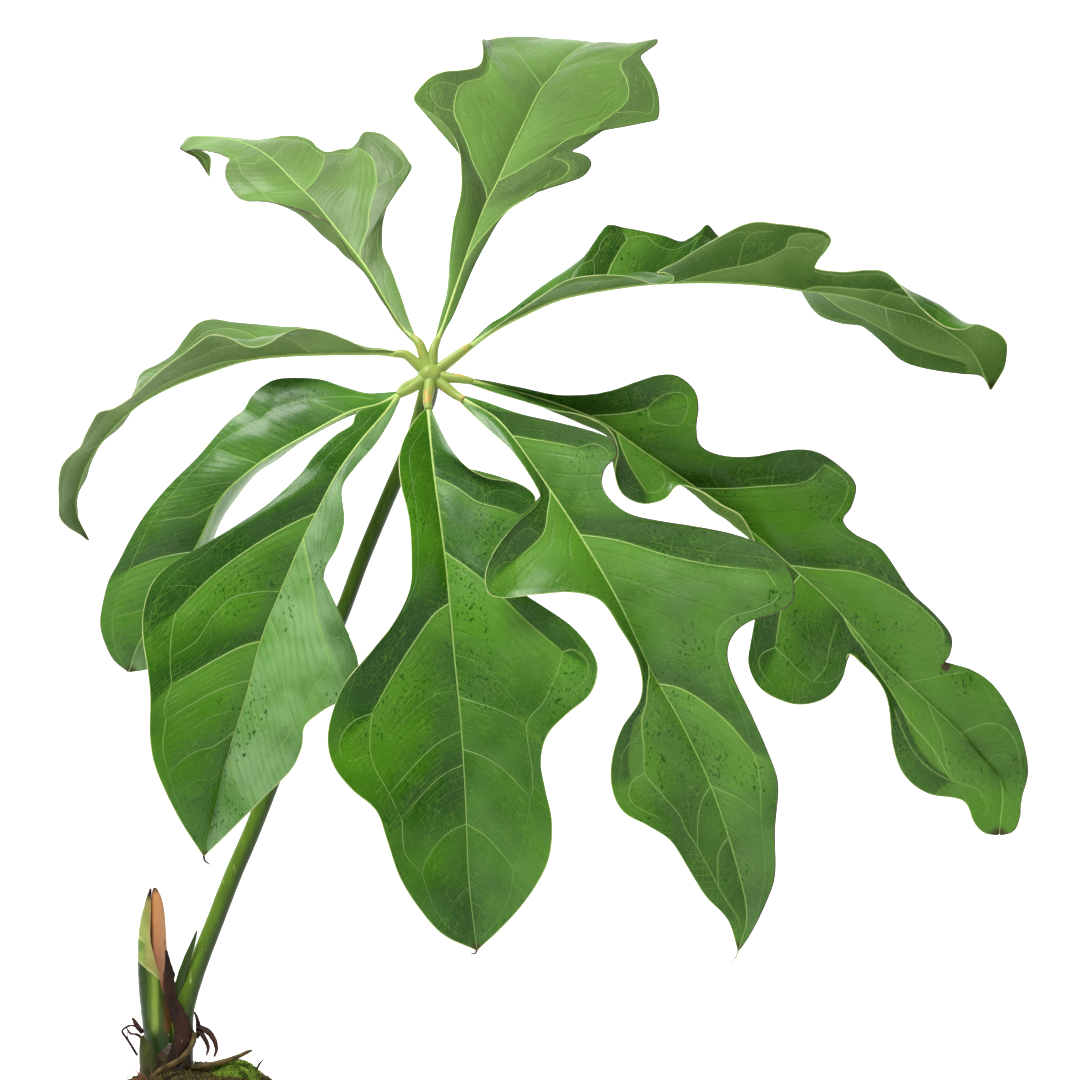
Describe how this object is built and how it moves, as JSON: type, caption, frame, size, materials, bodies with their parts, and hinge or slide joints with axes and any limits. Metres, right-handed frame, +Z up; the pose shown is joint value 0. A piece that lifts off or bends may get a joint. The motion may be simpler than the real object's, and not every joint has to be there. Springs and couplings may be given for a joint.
{
  "type": "potted anthurium clavigerum",
  "caption": "Potted aroid with one large palmately divided leaf of lobed leaflets on a leaning petiole, sheathed crown, aerial roots and mossy mound in a plain round clay pot.",
  "frame": {"origin": "middle of the underside of the pot", "axes": "+Z up, +X to the right seen from the front, -Y towards the viewer; the leaf leans towards +X"},
  "size_m": [0.6323, 0.4016, 0.8821],
  "materials": {
    "clay": "matt unglazed fired clay",
    "soil": "crumbly dark potting mix of bark and peat",
    "moss": "short bright green moss",
    "petiole": "smooth satin green, yellower at the hub",
    "sheath": "smooth satin green, pale yellow at the hood",
    "young": "smooth orange-pink, faintly glossy",
    "papery": "dry dark brown, fibrous",
    "olive": "dull olive green",
    "root": "dull olive brown, finely ridged",
    "blade": "soft gloss mid green with pale raised veins"
  },
  "bodies": {
    "root": {"pot": "clay", "soil": "soil", "moss_cushion": "moss", "petiole": "petiole", "green_sheath": "sheath", "young_sheath": "young", "dry_cataphyll": "papery", "olive_scale": "olive", "front_root": "root", "right_root": "root", "dry_fibres": "papery", "leaflet_1": "blade", "leaflet_2": "blade", "leaflet_3": "blade", "leaflet_4": "blade", "leaflet_5": "blade", "leaflet_6": "blade", "leaflet_9": "blade", "leaflets_7_8": "blade"}
  },
  "joints": []
}
